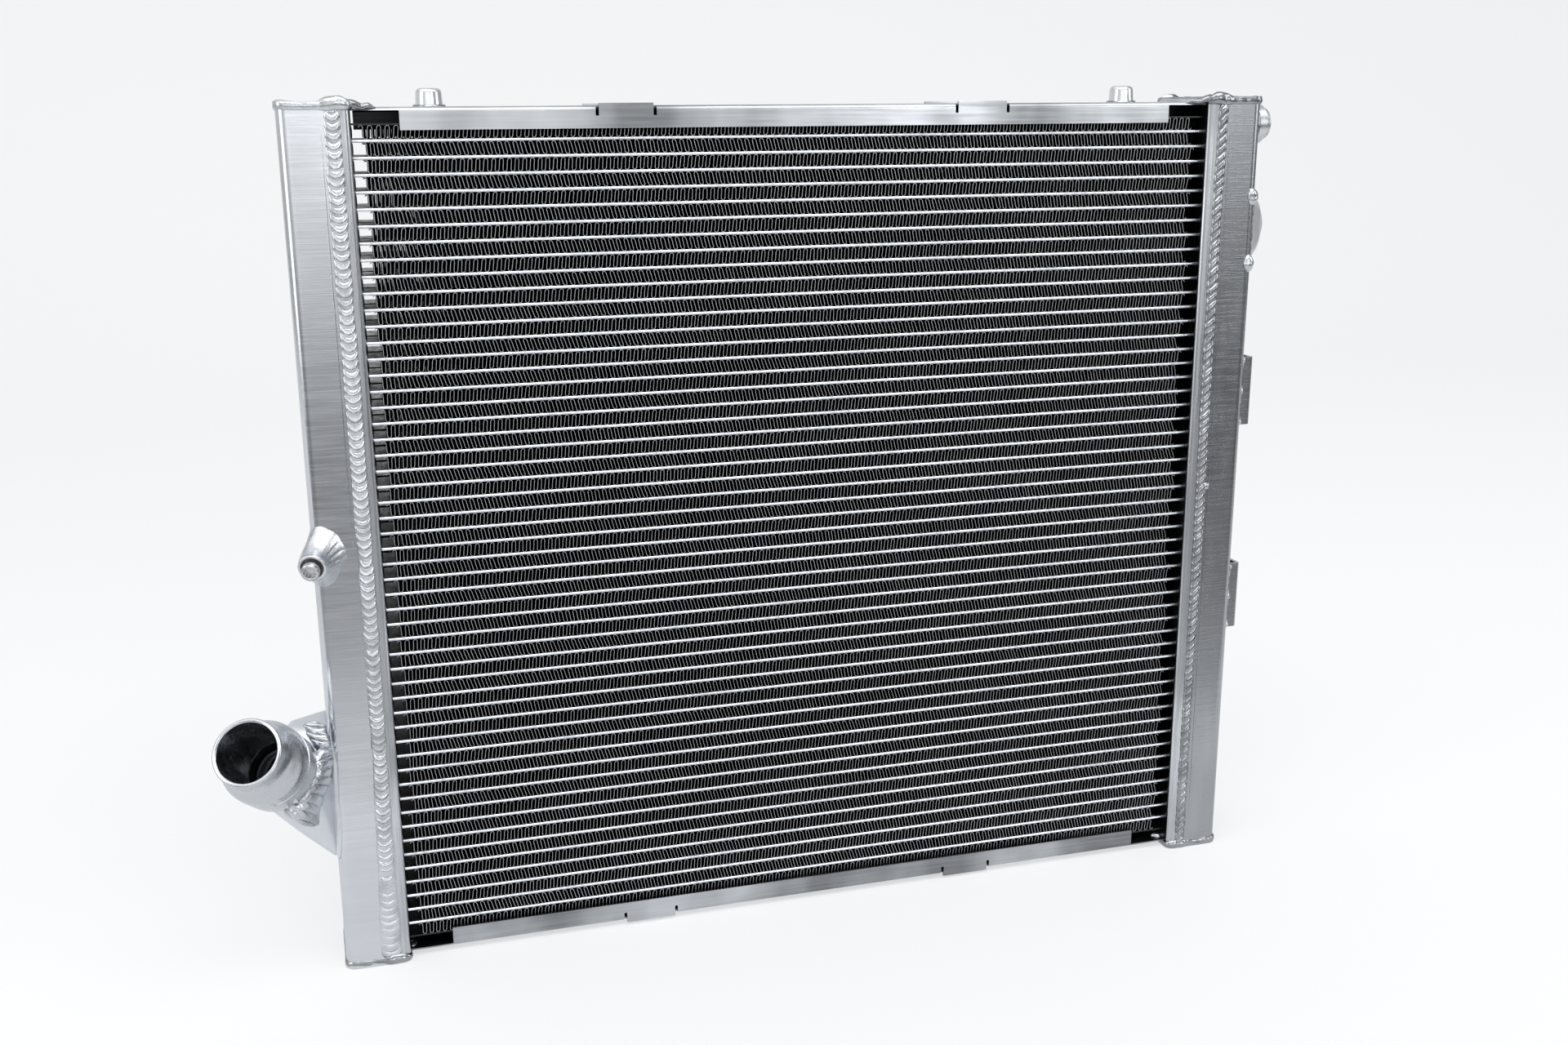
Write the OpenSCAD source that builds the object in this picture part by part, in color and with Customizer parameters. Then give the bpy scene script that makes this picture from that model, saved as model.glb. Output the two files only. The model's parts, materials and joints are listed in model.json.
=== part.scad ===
// Cross-flow car radiator: a welded aluminium core between two upright side tanks.
// Frame: X runs across the core, Y through its depth (front is -Y), Z up.
// The origin is the middle of the lower channel's underside, where the radiator sits in its cradle.

/* [Core] */
// Clear width of the core between the two header plates
core_w = 564; // [480:2:640]
// Depth of the core, front to back
core_depth = 56; // [50:1:64]
// Number of flat tube levels, one above another
tube_levels = 52; // [30:1:60]
// Height from one tube level to the next
tube_pitch = 10; // [9:0.5:11]
// Thickness of a flat tube
tube_h = 2; // [1.6:0.1:2.4]
// Wall thickness of a flat tube
tube_wall = 0.35; // [0.3:0.05:0.5]
// Free gap between the front and rear tube of one level
bank_gap = 4; // [2:0.5:6]
// How far a tube reaches past the core on either side, through its header
tube_reach = 4; // [3:0.5:6]

/* [Fins] */
// Waves of the folded fin strip in one row, fewer and thicker than the real strip's
fin_waves = 10; // [6:1:14]
// Thickness of the folded fin strip
fin_t = 0.35; // [0.3:0.05:0.6]
// Space left between the end of a fin strip and the header plate
fin_end_gap = 9; // [6:1:12]
// Thickness of the flat plates above the top fin row and below the bottom one
end_plate_t = 1; // [0.8:0.1:1.4]

/* [Headers and tanks] */
// Sheet thickness of headers and tanks
tank_wall = 2; // [1.5:0.25:2.5]
// Width of the header's side flange, from its core face to the seam
header_flange = 12; // [10:1:16]
// Width of a header and tank together
tank_w = 42; // [38:1:50]
// How far the tanks stand proud of the core at front and back
tank_proud = 8; // [6:1:10]
// Outer corner radius of a tank
tank_corner = 7; // [5:0.5:9]
// Outer corner radius of a header
header_corner = 4; // [3:0.5:5]
// Thickness of the plates that close the tank ends
cap_t = 2.5; // [2:0.5:3]
// How far the tank ends reach above and below the channels
tank_overrun = 3.5; // [3:0.5:5]
// Width of the weld bead along a seam
bead_w = 10; // [8:0.5:12]
// Height of the weld bead over the sheet
bead_h = 1.6; // [1.2:0.1:2]

/* [Channels] */
// Height of a channel's side flanges
channel_h = 13.5; // [12:0.5:15]
// Sheet thickness of a channel
channel_t = 2; // [1.5:0.25:2]
// Length that the front flanges stop short of the header plates
flange_setback = 28; // [24:1:34]
// Length that the rear flanges stop short of the header plates
rear_setback = 3; // [2:0.5:6]
// Distance from the centre to each flange tab
tab_x = 118; // [100:1:130]
// Width of a flange tab
tab_w = 34; // [28:1:38]
// How far a flange tab stands past the web
tab_rise = 1.5; // [1:0.25:2]
// Width of a relief notch beside a tab
notch_w = 2; // [1.5:0.25:2.5]
// Depth of a relief notch below the web's underside
notch_h = 4; // [3:0.5:5]
// Outer bend radius of a channel
bend_r = 3; // [2.5:0.25:3]

/* [Mounting pins] */
// Distance from the centre to each mounting pin
pin_x = 234; // [220:1:240]
// Diameter of a mounting pin
pin_d = 16; // [14:0.5:18]
// Height of a mounting pin above its channel
pin_h = 11; // [9:0.5:14]

/* [Hose necks] */
// Bore diameter of a hose neck
neck_bore = 36.8; // [34:0.2:37.2]
// Outside diameter where the hose sits
hose_d = 42.6; // [41.6:0.2:43]
// Outside diameter of the collar behind the hose
collar_d = 53; // [51:0.5:54]
// Length of a hose neck from its mouth to its weld
neck_len = 52; // [48:1:54]
// Upward slope of the outlet neck in degrees
outlet_rise = 35.6; // [33:0.1:37]
// Angle of the outlet neck away from straight ahead
outlet_turn = 20.8; // [19:0.1:22]
// Height of the inlet neck
inlet_z = 462; // [440:1:480]
// Angle of the inlet neck away from straight back
inlet_turn = 17.5; // [15:0.5:19]

/* [Drain and bleed fittings] */
// Height of the drain boss
drain_z = 277; // [250:1:300]
// Outside diameter of the drain boss
drain_d = 17; // [16:0.5:18]
// Thread diameter of the drain plug
drain_thread = 8; // [7.6:0.2:8.4]
// Height of the bleed boss
bleed_z = 534; // [520:1:534]
// Outside diameter of the bleed boss
bleed_d = 27; // [25:0.5:28]
// Thread diameter of the bleed plug
bleed_thread = 16; // [14:0.5:17]
// Radial clearance between a plug's thread and its boss
thread_gap = 0.05; // [0.02:0.01:0.08]

/* [Side brackets] */
// Height of the upper bracket's middle
upper_bracket_z = 347; // [330:1:360]
// Height of the lower bracket's middle
lower_bracket_z = 193; // [180:1:210]
// Length of a bracket
bracket_len = 49; // [44:1:54]
// How far a bracket stands out from the tank
bracket_out = 10; // [9:0.5:12]

/* [Hidden] */
$fn = 48;
core_half = core_w / 2;
tube_depth = (core_depth - bank_gap) / 2;
bank_y = (tube_depth + bank_gap) / 2;
fin_h = tube_pitch - tube_h;
end_plate_z = 9.5;
first_tube_z = end_plate_z + end_plate_t + fin_h + tube_h / 2;
core_top = first_tube_z + (tube_levels - 1) * tube_pitch + tube_h / 2 + fin_h;
channel_top = core_top + end_plate_t + end_plate_z;
tank_half_depth = core_depth / 2 + tank_proud;
tank_bottom = -tank_overrun;
tank_top = channel_top + tank_overrun;
tank_body_h = tank_top - tank_bottom - 2 * cap_t;
seam_x = core_half + header_flange;
tank_x = core_half + tank_w;
channel_half_depth = core_depth / 2 + 1 + channel_t;
// Outlet neck: where its axis starts at the mouth, and its direction
outlet_mouth = [-tank_x - 46.4, -tank_half_depth - 50, 177];
outlet_tilt = [0, 90 - outlet_rise, 270 - outlet_turn];
outlet_base = outlet_mouth - neck_len * aim(outlet_tilt);
outlet_pad = [[-tank_half_depth + 3, 14], [75, 164]];
outlet_shoulder = [[-30, -2], [92, 166]];
outlet_port = [-tank_x + 9, 0, 124];
// Inlet neck: its weld end sits behind and outside the tank, its mouth points to the back
inlet_tilt = [0, 90, 90 - inlet_turn];
inlet_base = [tank_x + 23, tank_half_depth + 4, inlet_z];
inlet_mouth = inlet_base + neck_len * aim(inlet_tilt);
inlet_pad = [[-29, 30], [inlet_z - 25, inlet_z + 25]];
inlet_shoulder = [[-6, 28], [inlet_z - 20, inlet_z + 20]];
inlet_port = [tank_x - 9, 4, inlet_z];
port_r = 14;
// Round seat of a boss that a neck is welded to
seat_r = neck_bore / 2 + 3.1;
seat_len = 16;
// Drain boss: the middle of its face, pointing ahead, a little outwards and down
drain_face = [-tank_x - 0.5, -tank_half_depth - 13, drain_z];
drain_tilt = [0, 105, 255];
drain_reach = 24;
drain_seal_t = 1.2;
bleed_face = [tank_x + 8, -16, bleed_z];
bleed_tilt = [0, 90, 0];
bleed_seal_t = 1.2;

// Direction of the local +Z axis after rotate(tilt)
function aim(tilt) = [sin(tilt[1]) * cos(tilt[2]), sin(tilt[1]) * sin(tilt[2]), cos(tilt[1])];

// Flat section with round ends, w across and h high, centred
module stadium(w, h) {
    square([w - h, h], center = true);
    for (side = [-1, 1])
        translate([side * (w - h) / 2, 0])
            circle(d = h, $fn = 24);
}

// Rectangle from x0 to x1 and -half to half, with its two corners at x1 rounded
module end_rounded(x0, x1, half, r) {
    translate([x0, -half])
        square([x1 - r - x0, 2 * half]);
    translate([x1 - r, -half + r])
        square([r, 2 * (half - r)]);
    for (side = [-1, 1])
        translate([x1 - r, side * (half - r)])
            circle(r);
}

// Straight prism along X with a flat round-ended section
module stadium_bar(length, w, h) {
    rotate([90, 0, 90])
        linear_extrude(length, center = true)
            stadium(w, h);
}

module at_tubes() {
    for (level = [0 : tube_levels - 1])
        for (bank = [-1, 1])
            translate([0, bank * bank_y, first_tube_z + level * tube_pitch])
                children();
}

module core_tubes() {
    length = core_w + 2 * tube_reach;
    color("silver")
        at_tubes()
            difference() {
                stadium_bar(length, tube_depth, tube_h);
                stadium_bar(length + 1, tube_depth - 2 * tube_wall, tube_h - 2 * tube_wall);
            }
}

// One fin strip: a folded ribbon with flat crests that touch the tubes above and below
module fin_strip() {
    half = core_half - fin_end_gap;
    fold = half / fin_waves;
    crest = 1.5;
    line = [for (i = [0 : 2 * fin_waves - 1], k = [0, 1])
        [-half + i * fold + (k == 0 ? crest : fold - crest),
            (i + k) % 2 == 0 ? 0 : fin_h - fin_t]];
    under = concat([[-half, 0]], line, [[half, 0]]);
    over = [for (i = [len(under) - 1 : -1 : 0]) under[i] + [0, fin_t]];
    rotate([90, 0, 0])
        linear_extrude(core_depth, center = true)
            polygon(concat(under, over));
}

module core_fins() {
    color("dimgray")
        for (row = [0 : tube_levels])
            translate([0, 0, end_plate_z + end_plate_t + row * tube_pitch])
                fin_strip();
}

module end_plate(z) {
    translate([-core_half, -core_depth / 2, z])
        cube([core_w, core_depth, end_plate_t]);
}

module top_end_plate() {
    color("gainsboro")
        end_plate(core_top);
}

module bottom_end_plate() {
    color("gainsboro")
        end_plate(end_plate_z);
}

// Header: a shallow channel that opens outwards, slotted for every tube
module header() {
    difference() {
        translate([0, 0, tank_bottom + cap_t])
            linear_extrude(tank_body_h)
                difference() {
                    mirror([1, 0])
                        end_rounded(-seam_x, -core_half, tank_half_depth, header_corner);
                    translate([core_half + tank_wall, 0])
                        mirror([1, 0])
                            end_rounded(-header_flange, 0, tank_half_depth - tank_wall,
                                header_corner - tank_wall);
                }
        at_tubes()
            translate([core_half + tank_wall / 2, 0, 0])
                stadium_bar(tank_wall + 1, tube_depth, tube_h);
    }
}

module left_header() {
    color("lightgray")
        mirror([1, 0, 0])
            header();
}

module right_header() {
    color("lightgray")
        header();
}

// Tank: a deep channel that closes onto the header's flanges
module tank() {
    translate([0, 0, tank_bottom + cap_t])
        linear_extrude(tank_body_h)
            difference() {
                end_rounded(seam_x, tank_x, tank_half_depth, tank_corner);
                end_rounded(seam_x - 1, tank_x - tank_wall, tank_half_depth - tank_wall,
                    tank_corner - tank_wall);
            }
}

// Outside of a closed tank and header, as one solid block for trimming what is welded on
module tank_block() {
    translate([0, 0, tank_bottom])
        linear_extrude(tank_top - tank_bottom)
            end_rounded(core_half + header_corner, tank_x, tank_half_depth, tank_corner);
}

module left_tank() {
    color("silver")
        difference() {
            mirror([1, 0, 0])
                tank();
            branch(outlet_base, outlet_port);
            drain_hole();
        }
}

module right_tank() {
    color("darkgray")
        difference() {
            tank();
            branch(inlet_base, inlet_port);
            bleed_hole();
        }
}

// Plate that closes one end of a tank and its header, standing just proud of both
module tank_cap(z) {
    translate([0, 0, z])
        linear_extrude(cap_t) {
            end_rounded(core_half + header_corner, tank_x + 1, tank_half_depth + 1, tank_corner + 1);
            mirror([1, 0])
                end_rounded(-core_half - 2 * header_corner, -core_half, tank_half_depth + 1,
                    header_corner + 1);
        }
}

module left_top_cap() {
    color("silver")
        mirror([1, 0, 0])
            tank_cap(tank_top - cap_t);
}

module left_bottom_cap() {
    color("silver")
        mirror([1, 0, 0])
            tank_cap(tank_bottom);
}

module right_top_cap() {
    color("darkgray")
        tank_cap(tank_top - cap_t);
}

module right_bottom_cap() {
    color("darkgray")
        tank_cap(tank_bottom);
}

// Two seam beads of one tank, at the front and the back, each a shallow round-topped strip
module seam_welds() {
    bead_r = (bead_w * bead_w / 4 + bead_h * bead_h) / (2 * bead_h);
    for (side = [-1, 1])
        translate([0, 0, tank_bottom + cap_t])
            linear_extrude(tank_body_h)
                intersection() {
                    translate([seam_x, side * (tank_half_depth + bead_h - bead_r)])
                        circle(bead_r, $fn = 96);
                    translate([seam_x - bead_w, side > 0 ? tank_half_depth : -tank_half_depth - bead_h])
                        square([2 * bead_w, bead_h]);
                }
}

module left_seam_welds() {
    color("white")
        mirror([1, 0, 0])
            seam_welds();
}

module right_seam_welds() {
    color("white")
        seam_welds();
}

// Outline of a channel's folded section, web on top, drawn in by inset and reaching down to foot
module channel_outline(inset, foot) {
    rotate(90)
        end_rounded(foot, channel_t - inset, channel_half_depth - inset, bend_r - inset);
}

// Channel over the core: web and two flanges, the rear one longer, with flat tabs between short
// relief notches in the bend
module channel() {
    flange_half = core_half - flange_setback;
    flange_foot = channel_t - channel_h;
    difference() {
        rotate([90, 0, 90])
            linear_extrude(core_w, center = true)
                difference() {
                    channel_outline(0, flange_foot);
                    channel_outline(channel_t, flange_foot - 1);
                }
        for (sx = [-1, 1], sy = [-1, 1])
            translate([sx * core_half, sy * core_depth, -channel_h / 2])
                cube([2 * (sy < 0 ? flange_setback : rear_setback), 2 * core_depth, channel_h],
                    center = true);
        for (sx = [-1, 1], sy = [-1, 1])
            translate([sx * tab_x, sy * channel_half_depth, 0])
                cube([tab_w + 2 * notch_w, 2 * channel_t + 2, 2 * notch_h], center = true);
    }
    for (sx = [-1, 1], sy = [-1, 1])
        translate([sx * tab_x - tab_w / 2,
            sy > 0 ? channel_half_depth - channel_t : -channel_half_depth, -notch_h])
            cube([tab_w, channel_t, notch_h + channel_t + tab_rise]);
}

module upper_channel() {
    color("whitesmoke")
        translate([0, 0, channel_top - channel_t])
            channel();
}

module lower_channel() {
    color("gainsboro")
        translate([0, 0, channel_t])
            mirror([0, 0, 1])
                channel();
}

// Fillet welds on top of both webs, where they meet the header plates
module channel_welds() {
    r = 3;
    color("white")
        for (sx = [-1, 1], z = [channel_t, channel_top])
            translate([sx * core_half, 0, z])
                difference() {
                    rotate([90, 0, 0])
                        cylinder(r = r, h = core_depth, center = true, $fn = 32);
                    translate([-2 * r, -core_depth, -2 * r])
                        cube([4 * r, 2 * core_depth, 2 * r]);
                    translate([sx > 0 ? 0 : -2 * r, -core_depth, -1])
                        cube([2 * r, 2 * core_depth, 2 * r]);
                }
}

// Locating pin with a weld fillet round its foot
module mount_pin() {
    round_r = 3;
    rotate_extrude() {
        square([pin_d / 2, pin_h - round_r]);
        square([pin_d / 2 - round_r, pin_h]);
        translate([pin_d / 2 - round_r, pin_h - round_r])
            intersection() {
                circle(round_r, $fn = 32);
                square(round_r);
            }
        polygon([[0, 0], [pin_d / 2 + 2, 0], [pin_d / 2, 1.6], [0, 1.6]]);
    }
}

module left_mount_pin() {
    color("silver")
        translate([-pin_x, 0, channel_top])
            mount_pin();
}

module right_mount_pin() {
    color("silver")
        translate([pin_x, 0, channel_top])
            mount_pin();
}

// Hose neck with its mouth at local z = 0: a rounded lip, the hose land, the bead and the grooved collar
module hose_neck() {
    bore_r = neck_bore / 2;
    hose_r = hose_d / 2;
    collar_r = collar_d / 2;
    lip_r = (hose_r - bore_r) / 2;
    groove_r = collar_r - 0.6;
    lip = [for (a = [0 : 30 : 180]) [bore_r + lip_r + lip_r * cos(a), -lip_r + lip_r * sin(a)]];
    rotate_extrude($fn = 96)
        polygon(concat([[bore_r, -neck_len], [collar_r, -neck_len],
            [collar_r, -35], [groove_r, -35], [groove_r, -34], [collar_r, -34],
            [collar_r, -28], [groove_r, -23], [hose_r + 2.4, -16], [hose_r, -13]], lip));
}

// Bore down a neck and a short way into its boss
module neck_hole(reach) {
    translate([0, 0, -neck_len - reach])
        cylinder(d = neck_bore, h = neck_len + reach + 1, $fn = 96);
}

// Side passage from a neck's weld end to the inside of the tank
module branch(from, to) {
    way = to - from;
    length = norm(way);
    translate(from)
        rotate([0, acos(way[2] / length), atan2(way[1], way[0])])
            cylinder(r = port_r, h = length);
}

// One layer of a boss: a flat block with rounded corners, standing out from the tank's side
module boss_layer(side, out, corner_r, area) {
    for (y = area[0] + corner_r * [1, -1], z = area[1] + corner_r * [1, -1])
        translate([side > 0 ? tank_x + out : -tank_x - out - 1.5, y, z])
            rotate([0, 90, 0])
                cylinder(r = corner_r, h = 1.5, $fn = 32);
}

// Cast boss: a pad on the tank's side, a shoulder over it and a round seat for the neck
module neck_boss(base, tilt, side, pad, shoulder) {
    difference() {
        union() {
            hull() {
                boss_layer(side, 0, 8, pad);
                boss_layer(side, 20.5, 11, shoulder);
                translate(base)
                    rotate(tilt)
                        translate([0, 0, -seat_len - 2])
                            cylinder(r = seat_r + 0.5, h = 4, $fn = 32);
            }
            translate(base)
                rotate(tilt)
                    translate([0, 0, -seat_len])
                        cylinder(r = seat_r, h = seat_len, $fn = 96);
        }
        mirror([side > 0 ? 0 : 1, 0, 0])
            tank_block();
    }
}

module outlet_boss() {
    color("silver")
        difference() {
            neck_boss(outlet_base, outlet_tilt, -1, outlet_pad, outlet_shoulder);
            translate(outlet_mouth)
                rotate(outlet_tilt)
                    neck_hole(12);
            branch(outlet_base - 4 * aim(outlet_tilt), outlet_port);
        }
}

module outlet_neck() {
    color("lightgray")
        translate(outlet_mouth)
            rotate(outlet_tilt)
                hose_neck();
}

// Fillet weld between the back of a neck's collar and the seat of its boss
module ring_weld() {
    rotate_extrude($fn = 96)
        translate([seat_r, -neck_len])
            intersection() {
                circle(4, $fn = 32);
                translate([0, -4])
                    square(4);
            }
}

module outlet_weld() {
    color("white")
        translate(outlet_mouth)
            rotate(outlet_tilt)
                ring_weld();
}

module inlet_boss() {
    color("darkgray")
        difference() {
            neck_boss(inlet_base, inlet_tilt, 1, inlet_pad, inlet_shoulder);
            translate(inlet_mouth)
                rotate(inlet_tilt)
                    neck_hole(12);
            branch(inlet_base - 4 * aim(inlet_tilt), inlet_port);
        }
}

module inlet_neck() {
    color("lightgray")
        translate(inlet_mouth)
            rotate(inlet_tilt)
                hose_neck();
}

module inlet_weld() {
    color("white")
        translate(inlet_mouth)
            rotate(inlet_tilt)
                ring_weld();
}

module drain_hole() {
    translate(drain_face)
        rotate(drain_tilt)
            translate([0, 0, -drain_reach])
                cylinder(d = drain_thread + 2 * thread_gap, h = drain_reach + 1);
}

// Weld fan that spreads from the drain boss over the tank's front corner
module drain_fillet() {
    foot = [-tank_x + 6, -tank_half_depth + 1, drain_z + 1];
    difference() {
        hull() {
            translate(drain_face)
                rotate(drain_tilt)
                    translate([0, 0, -7])
                        cylinder(d = drain_d + 1, h = 3, $fn = 32);
            translate(foot)
                rotate([90, 0, 0])
                    scale([11, 17, 1])
                        cylinder(r = 1, h = 1.5, $fn = 32);
            translate(foot + [-7, 5, 0])
                sphere(r = 5, $fn = 16);
        }
        mirror([1, 0, 0])
            tank_block();
    }
}

module drain_boss() {
    color("silver")
        difference() {
            union() {
                drain_fillet();
                translate(drain_face)
                    rotate(drain_tilt)
                        translate([0, 0, -6])
                            cylinder(d = drain_d, h = 6);
            }
            drain_hole();
        }
}

module drain_seal() {
    color("black")
        translate(drain_face)
            rotate(drain_tilt)
                difference() {
                    cylinder(d = 13, h = drain_seal_t);
                    translate([0, 0, -1])
                        cylinder(d = drain_thread, h = drain_seal_t + 2);
                }
}

// Plug with a hexagon socket: shank down local -Z, head above the seal
module socket_plug(thread_d, shank, head_d, head_h, seal_t, key) {
    difference() {
        union() {
            translate([0, 0, -shank])
                cylinder(d = thread_d, h = shank + seal_t + 0.5);
            translate([0, 0, seal_t])
                cylinder(d = head_d, h = head_h - 0.8);
            translate([0, 0, seal_t + head_h - 0.8])
                cylinder(d1 = head_d, d2 = head_d - 1.6, h = 0.8);
        }
        translate([0, 0, seal_t + head_h * 0.3])
            cylinder(d = key / cos(30), h = head_h, $fn = 6);
    }
}

module drain_plug() {
    color("slategray")
        translate(drain_face)
            rotate(drain_tilt)
                socket_plug(drain_thread, 12, 11.4, 5.5, drain_seal_t, 6);
}

module bleed_hole() {
    translate(bleed_face)
        rotate(bleed_tilt)
            translate([0, 0, -16])
                cylinder(d = bleed_thread + 2 * thread_gap, h = 17);
}

module bleed_boss() {
    color("silver")
        difference() {
            translate([tank_x, bleed_face[1], bleed_z])
                rotate(bleed_tilt)
                    cylinder(d = bleed_d, h = bleed_face[0] - tank_x);
            bleed_hole();
        }
}

module bleed_seal() {
    color("black")
        translate(bleed_face)
            rotate(bleed_tilt)
                difference() {
                    cylinder(d = bleed_thread + 4, h = bleed_seal_t);
                    translate([0, 0, -1])
                        cylinder(d = bleed_thread, h = bleed_seal_t + 2);
                }
}

module bleed_plug() {
    color("slategray")
        translate(bleed_face)
            rotate(bleed_tilt)
                socket_plug(bleed_thread, 9, bleed_thread + 5.6, 3.6, bleed_seal_t, 8);
}

// Side bracket: a channel whose two legs are welded to the tank, open above and below
module bracket(z) {
    t = 2.5;
    depth = 30;
    translate([tank_x, -tank_half_depth + tank_corner, z - bracket_len / 2])
        difference() {
            linear_extrude(bracket_len)
                end_rounded_at(bracket_out, depth, 3);
            translate([0, 0, -1])
                linear_extrude(bracket_len + 2)
                    end_rounded_at(bracket_out - t, depth, 0.6, t);
        }
}

// Rectangle from x = 0 to out and y = 0 to depth, inset at both y ends, outer corners rounded
module end_rounded_at(out, depth, r, inset = 0) {
    translate([0, depth / 2])
        end_rounded(inset > 0 ? -1 : 0, out, depth / 2 - inset, r);
}

module upper_bracket() {
    color("gray")
        bracket(upper_bracket_z);
}

module lower_bracket() {
    color("gray")
        bracket(lower_bracket_z);
}

// Short welds along the bracket legs, at the ends and the middle
module bracket_welds() {
    bead = 2;
    color("white")
        for (mid = [upper_bracket_z, lower_bracket_z], step = [-1, 0, 1])
            translate([tank_x, -tank_half_depth + tank_corner, mid + step * (bracket_len / 2 - 5)])
                difference() {
                    cylinder(r = bead, h = 9, center = true, $fn = 24);
                    translate([-2 * bead, -2 * bead, -6])
                        cube([2 * bead, 4 * bead, 12]);
                    translate([-bead, 0, -6])
                        cube([3 * bead, 2 * bead, 12]);
                }
}

core_tubes();
core_fins();
top_end_plate();
bottom_end_plate();
left_header();
right_header();
left_tank();
right_tank();
left_top_cap();
left_bottom_cap();
right_top_cap();
right_bottom_cap();
left_seam_welds();
right_seam_welds();
upper_channel();
lower_channel();
channel_welds();
left_mount_pin();
right_mount_pin();
outlet_boss();
outlet_neck();
outlet_weld();
inlet_boss();
inlet_neck();
inlet_weld();
drain_boss();
drain_seal();
drain_plug();
bleed_boss();
bleed_seal();
bleed_plug();
upper_bracket();
lower_bracket();
bracket_welds();
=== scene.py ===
import json
import math

import bpy
import numpy as np
from mathutils import Matrix, Vector


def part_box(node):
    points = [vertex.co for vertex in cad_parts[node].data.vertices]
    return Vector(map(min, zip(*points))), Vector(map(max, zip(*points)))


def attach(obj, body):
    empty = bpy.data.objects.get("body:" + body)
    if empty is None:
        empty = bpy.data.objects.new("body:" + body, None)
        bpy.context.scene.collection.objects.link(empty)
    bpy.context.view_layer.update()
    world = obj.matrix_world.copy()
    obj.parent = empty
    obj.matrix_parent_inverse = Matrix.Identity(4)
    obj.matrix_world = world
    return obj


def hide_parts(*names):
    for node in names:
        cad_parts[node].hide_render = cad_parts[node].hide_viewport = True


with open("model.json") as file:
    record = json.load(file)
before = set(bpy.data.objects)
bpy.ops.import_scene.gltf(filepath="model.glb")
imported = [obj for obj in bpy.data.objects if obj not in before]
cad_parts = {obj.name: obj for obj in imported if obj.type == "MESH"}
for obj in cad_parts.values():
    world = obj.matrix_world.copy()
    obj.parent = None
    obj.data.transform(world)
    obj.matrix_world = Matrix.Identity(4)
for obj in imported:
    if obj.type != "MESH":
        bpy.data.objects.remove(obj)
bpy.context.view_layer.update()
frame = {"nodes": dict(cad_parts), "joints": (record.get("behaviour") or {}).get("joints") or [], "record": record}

# Everything is in metres, in the CAD frame: X across the core, -Y the front, Z up.
MM = 0.001

# The main sizes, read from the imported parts
TUBES_LOW, TUBES_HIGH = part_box("core_tubes")
PLATE_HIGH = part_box("bottom_end_plate")[1]
HEAD_LOW, HEAD_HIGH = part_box("right_header")
TANK_LOW, TANK_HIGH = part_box("right_tank")
CAP_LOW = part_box("right_top_cap")[0]
CHANNEL_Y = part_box("upper_channel")[1].y
WEB_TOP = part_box("left_mount_pin")[0].z
FLOOR_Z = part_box("right_bottom_cap")[0].z
TUBE_H = 2 * MM
LEVELS = 52
PITCH = (TUBES_HIGH.z - TUBES_LOW.z - TUBE_H) / (LEVELS - 1)
CORE_X = HEAD_LOW.x
SEAM_X = HEAD_HIGH.x
TANK_X = TANK_HIGH.x
FACE_Y = TANK_HIGH.y
FIN_Y = PLATE_HIGH.y
MOUNTS = {m["name"]: m for m in frame["record"]["mounts"]}
JOINTS = {j["name"]: j for j in frame["joints"]}
SIDES = ((-1, "left"), (1, "right"))

# Hose necks, in mm: radii, and places along the axis from the middle of the mouth
LIP_PAST_BORE = 1.45
NECK_LONG = 52
BORE_LONG = 65
BORE_R = 18.4
GROOVE_LOW, GROOVE_HIGH = -35.1, -34.0


# ---------------------------------------------------------------- mesh helpers

def link(obj):
    bpy.context.scene.collection.objects.link(obj)


def add(obj, name, material, smooth=40.0, body="radiator"):
    """Names a new piece, gives it its material and rides it on its body."""
    obj.name = name
    obj.data.name = name
    link(obj)
    obj.data.materials.append(material)
    obj.data.shade_smooth()
    if smooth < 180.0:
        obj.data.set_sharp_from_angle(angle=math.radians(smooth))
    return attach(obj, body)


def add_weld(obj, name, material=None):
    """Names a new weld and gives it clean weld metal, or the material given."""
    add(obj, name, material or WELD, smooth=180.0)


def mesh_object(verts, faces):
    """New mesh object from an (n, 3) array of points and a list or array of faces."""
    mesh = bpy.data.meshes.new("mesh")
    faces = faces.tolist() if isinstance(faces, np.ndarray) else faces
    mesh.from_pydata(np.asarray(verts, dtype=float).tolist(), [], faces)
    mesh.update()
    return bpy.data.objects.new("piece", mesh)


def points_at(x, y, z):
    """Array of points from their coordinates, each of them a number or an array."""
    return np.stack(np.broadcast_arrays(x, y, z), -1)


def grid_faces(rings, points, ring_loop=False):
    """Quads between neighbouring rings, each a closed loop of points."""
    i = np.arange(rings if ring_loop else rings - 1)
    i, j = np.meshgrid(i, np.arange(points), indexing="ij")
    i2, j2 = (i + 1) % rings, (j + 1) % points
    quads = np.stack([i * points + j, i * points + j2, i2 * points + j2, i2 * points + j], -1)
    return quads.reshape(-1, 4)


def face_out(obj):
    """Turns the faces of a closed mesh so that all of them point out."""
    mesh = obj.data
    mesh.calc_loop_triangles()
    tri = np.array([t.vertices[:] for t in mesh.loop_triangles])
    co = np.array([v.co[:] for v in mesh.vertices])
    a, b, c = co[tri[:, 0]], co[tri[:, 1]], co[tri[:, 2]]
    if np.einsum("ij,ij->i", a, np.cross(b, c)).sum() < 0:
        mesh.flip_normals()
    return obj


def sweep(rings, ring_loop=False):
    """Closed skin over an array of rings (rings, points, 3), with flat ends unless it is a loop."""
    rings = np.asarray(rings)
    n, m = rings.shape[:2]
    faces = grid_faces(n, m, ring_loop).tolist()
    if not ring_loop:
        faces.append(list(range(m))[::-1])
        faces.append(list(range((n - 1) * m, n * m)))
    return face_out(mesh_object(rings.reshape(-1, 3), faces))


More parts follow.
